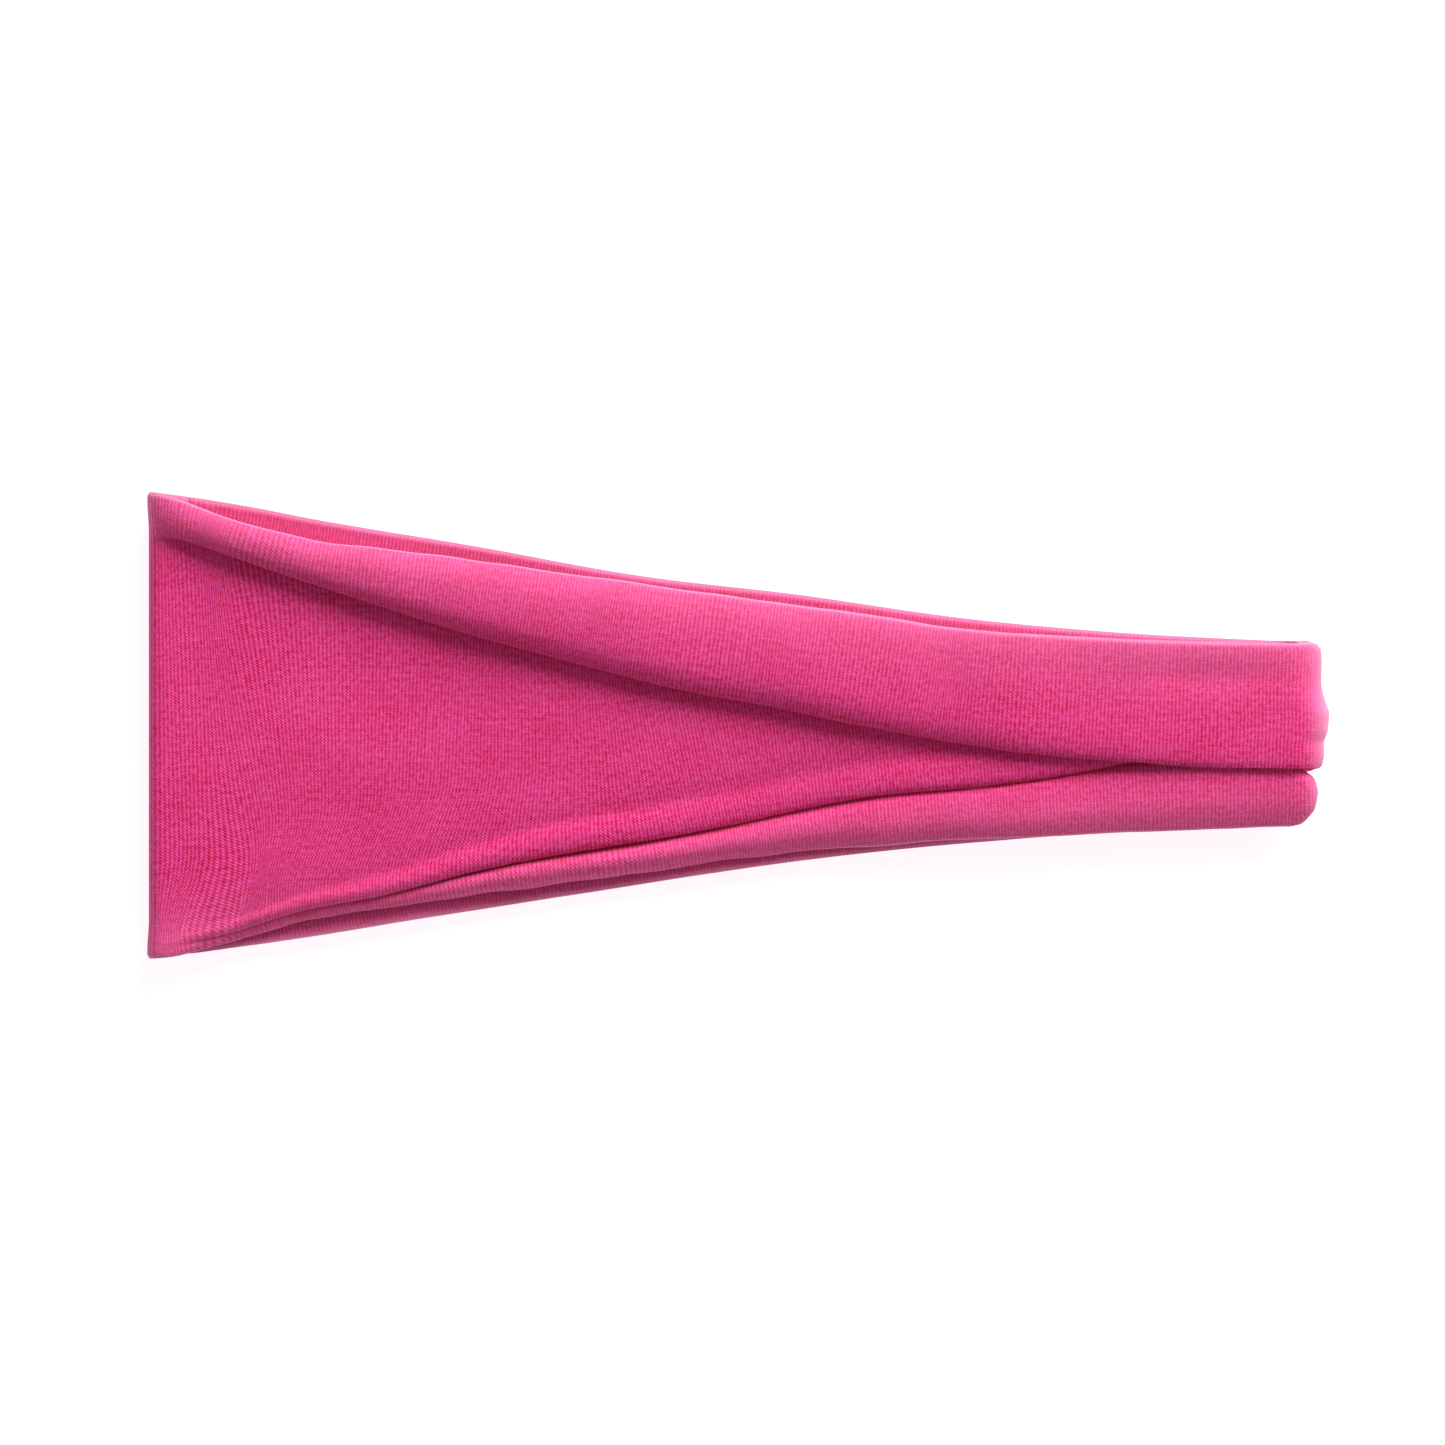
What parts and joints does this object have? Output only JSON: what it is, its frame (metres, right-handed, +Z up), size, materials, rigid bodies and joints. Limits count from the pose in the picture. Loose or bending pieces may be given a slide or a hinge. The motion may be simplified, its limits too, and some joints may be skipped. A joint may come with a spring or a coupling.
{
  "type": "sports headband",
  "caption": "Wide stretch headband: a closed loop of double-ply jersey knit, laid flat and pleated narrow towards the back.",
  "frame": {"origin": "middle of the laid band's footprint, on the surface it lies on", "axes": "+X along the laid loop, from the wide end to the pleated end; +Y across the band, towards its upper edge; +Z up"},
  "size_m": [0.2403, 0.0945, 0.0176],
  "materials": {
    "face_jersey": "matte fine jersey knit with a soft bloom",
    "lining_jersey": "matte fine jersey knit",
    "sewing_thread": "twisted polyester thread"
  },
  "bodies": {
    "root": {"outer_panel": "face_jersey", "lining_panel": "lining_jersey", "upper_edge_needle_thread": "sewing_thread", "upper_edge_looper_thread": "sewing_thread", "lower_edge_needle_thread": "sewing_thread", "lower_edge_looper_thread": "sewing_thread", "outer_end_seam_thread": "sewing_thread", "lining_end_seam_thread": "sewing_thread", "closing_stitch_thread": "sewing_thread"}
  },
  "joints": []
}
